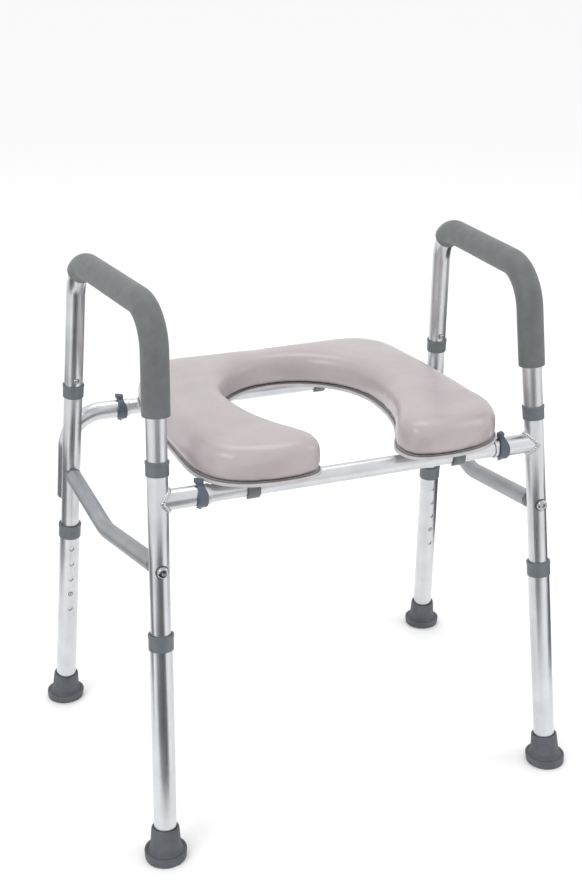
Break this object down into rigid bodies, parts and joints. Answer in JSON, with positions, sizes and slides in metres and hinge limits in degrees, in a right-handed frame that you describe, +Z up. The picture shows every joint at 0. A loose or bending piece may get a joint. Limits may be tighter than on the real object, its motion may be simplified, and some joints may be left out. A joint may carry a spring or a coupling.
{
  "type": "raised toilet seat",
  "caption": "Free-standing raised toilet seat: splayed aluminium frame with padded arms, height-adjustable legs, and a horseshoe-shaped padded seat on telescoping cross rails.",
  "frame": {"origin": "on the floor, midway between the four feet", "axes": "+Z up, -Y the way the sitter faces (the open front of the seat), +X to the right of someone who faces the seat"},
  "size_m": [0.664, 0.4796, 0.7109],
  "materials": {
    "tube_aluminium": "satin anodised tube with a bright drawn surface",
    "brace_aluminium": "matte anodised tube",
    "collar_plastic": "satin moulded nylon",
    "clip_plastic": "satin moulded nylon, blue-grey",
    "grip_vinyl": "matte dipped foam vinyl",
    "foot_rubber": "matte moulded rubber",
    "bright_steel": "polished plated steel",
    "board_plastic": "moulded polypropylene",
    "seat_skin": "smooth satin polyurethane foam skin"
  },
  "bodies": {
    "rails": {"front_rail": "tube_aluminium", "rear_rail": "tube_aluminium"},
    "seat": {"seat_board": "board_plastic", "seat_cushion": "seat_skin", "left_front_snap_clip": "collar_plastic", "left_rear_snap_clip": "collar_plastic", "right_front_snap_clip": "collar_plastic", "right_rear_snap_clip": "collar_plastic"},
    "left_side": {"left_front_post": "tube_aluminium", "left_front_arm_collar": "collar_plastic", "left_front_stub": "tube_aluminium", "left_front_saddle": "collar_plastic", "left_front_bolt": "bright_steel", "left_rear_post": "tube_aluminium", "left_rear_arm_collar": "collar_plastic", "left_rear_stub": "tube_aluminium", "left_rear_saddle": "collar_plastic", "left_rear_bolt": "bright_steel", "left_rear_stub_plug": "collar_plastic", "left_brace": "brace_aluminium", "left_arm_tube": "tube_aluminium", "left_arm_grip": "grip_vinyl"},
    "left_front_leg": {"left_front_leg": "tube_aluminium", "left_front_leg_collar": "collar_plastic", "left_front_foot": "foot_rubber"},
    "left_front_leg_button": {"left_front_leg_button": "bright_steel"},
    "left_front_arm_button": {"left_front_arm_button": "bright_steel"},
    "left_front_lock_clip": {"left_front_lock_clip": "clip_plastic"},
    "left_rear_leg": {"left_rear_leg": "tube_aluminium", "left_rear_leg_collar": "collar_plastic", "left_rear_foot": "foot_rubber"},
    "left_rear_leg_button": {"left_rear_leg_button": "bright_steel"},
    "left_rear_arm_button": {"left_rear_arm_button": "bright_steel"},
    "left_rear_lock_clip": {"left_rear_lock_clip": "clip_plastic"},
    "right_side": {"right_front_post": "tube_aluminium", "right_front_arm_collar": "collar_plastic", "right_front_stub": "tube_aluminium", "right_front_saddle": "collar_plastic", "right_front_bolt": "bright_steel", "right_rear_post": "tube_aluminium", "right_rear_arm_collar": "collar_plastic", "right_rear_stub": "tube_aluminium", "right_rear_saddle": "collar_plastic", "right_rear_bolt": "bright_steel", "right_rear_stub_plug": "collar_plastic", "right_brace": "brace_aluminium", "right_arm_tube": "tube_aluminium", "right_arm_grip": "grip_vinyl"},
    "right_front_leg": {"right_front_leg": "tube_aluminium", "right_front_leg_collar": "collar_plastic", "right_front_foot": "foot_rubber"},
    "right_front_leg_button": {"right_front_leg_button": "bright_steel"},
    "right_front_arm_button": {"right_front_arm_button": "bright_steel"},
    "right_front_lock_clip": {"right_front_lock_clip": "clip_plastic"},
    "right_rear_leg": {"right_rear_leg": "tube_aluminium", "right_rear_leg_collar": "collar_plastic", "right_rear_foot": "foot_rubber"},
    "right_rear_leg_button": {"right_rear_leg_button": "bright_steel"},
    "right_rear_arm_button": {"right_rear_arm_button": "bright_steel"},
    "right_rear_lock_clip": {"right_rear_lock_clip": "clip_plastic"}
  },
  "joints": [
    {"name": "seat_lift", "type": "hinge", "parent": "rails", "child": "seat", "pos_m": [0, 0.18629, 0.461], "axis": [-1, 0, 0], "range_deg": [0, 100]},
    {"name": "left_width", "type": "slide", "parent": "rails", "child": "left_side", "axis": [-1, 0, 0], "range_m": [0, 0.02]},
    {"name": "left_front_leg_height", "type": "slide", "parent": "left_side", "child": "left_front_leg", "axis": [-0.0453, -0.1125, -0.9926], "range_m": [-0.0254, 0.0762]},
    {"name": "left_front_leg_button_press", "type": "slide", "parent": "left_side", "child": "left_front_leg_button", "axis": [0.0051, -0.9936, 0.1124], "range_m": [0, 0.004], "stiffness_N_per_m": 900, "deforming": ["left_front_leg_button"]},
    {"name": "left_front_arm_button_press", "type": "slide", "parent": "left_side", "child": "left_front_arm_button", "axis": [0.0051, -0.9936, 0.1124], "range_m": [0, 0.004], "stiffness_N_per_m": 900, "deforming": ["left_front_arm_button"]},
    {"name": "left_front_lock_clip_pull", "type": "slide", "parent": "left_side", "child": "left_front_lock_clip", "axis": [0, 0, 1], "range_m": [0, 0.04], "deforming": ["left_front_lock_clip"]},
    {"name": "left_rear_leg_height", "type": "slide", "parent": "left_side", "child": "left_rear_leg", "axis": [-0.05, 0.1125, -0.9924], "range_m": [-0.0254, 0.0762]},
    {"name": "left_rear_leg_button_press", "type": "slide", "parent": "left_side", "child": "left_rear_leg_button", "axis": [0.0057, 0.9936, 0.1124], "range_m": [0, 0.004], "stiffness_N_per_m": 900, "deforming": ["left_rear_leg_button"]},
    {"name": "left_rear_arm_button_press", "type": "slide", "parent": "left_side", "child": "left_rear_arm_button", "axis": [0.0057, 0.9936, 0.1124], "range_m": [0, 0.004], "stiffness_N_per_m": 900, "deforming": ["left_rear_arm_button"]},
    {"name": "left_rear_lock_clip_pull", "type": "slide", "parent": "left_side", "child": "left_rear_lock_clip", "axis": [0, 0, 1], "range_m": [0, 0.04], "deforming": ["left_rear_lock_clip"]},
    {"name": "right_width", "type": "slide", "parent": "rails", "child": "right_side", "axis": [1, 0, 0], "range_m": [0, 0.02]},
    {"name": "right_front_leg_height", "type": "slide", "parent": "right_side", "child": "right_front_leg", "axis": [0.0453, -0.1125, -0.9926], "range_m": [-0.0254, 0.0762]},
    {"name": "right_front_leg_button_press", "type": "slide", "parent": "right_side", "child": "right_front_leg_button", "axis": [-0.0051, -0.9936, 0.1124], "range_m": [0, 0.004], "stiffness_N_per_m": 900, "deforming": ["right_front_leg_button"]},
    {"name": "right_front_arm_button_press", "type": "slide", "parent": "right_side", "child": "right_front_arm_button", "axis": [-0.0051, -0.9936, 0.1124], "range_m": [0, 0.004], "stiffness_N_per_m": 900, "deforming": ["right_front_arm_button"]},
    {"name": "right_front_lock_clip_pull", "type": "slide", "parent": "right_side", "child": "right_front_lock_clip", "axis": [0, 0, 1], "range_m": [0, 0.04], "deforming": ["right_front_lock_clip"]},
    {"name": "right_rear_leg_height", "type": "slide", "parent": "right_side", "child": "right_rear_leg", "axis": [0.05, 0.1125, -0.9924], "range_m": [-0.0254, 0.0762]},
    {"name": "right_rear_leg_button_press", "type": "slide", "parent": "right_side", "child": "right_rear_leg_button", "axis": [-0.0057, 0.9936, 0.1124], "range_m": [0, 0.004], "stiffness_N_per_m": 900, "deforming": ["right_rear_leg_button"]},
    {"name": "right_rear_arm_button_press", "type": "slide", "parent": "right_side", "child": "right_rear_arm_button", "axis": [-0.0057, 0.9936, 0.1124], "range_m": [0, 0.004], "stiffness_N_per_m": 900, "deforming": ["right_rear_arm_button"]},
    {"name": "right_rear_lock_clip_pull", "type": "slide", "parent": "right_side", "child": "right_rear_lock_clip", "axis": [0, 0, 1], "range_m": [0, 0.04], "deforming": ["right_rear_lock_clip"]}
  ]
}
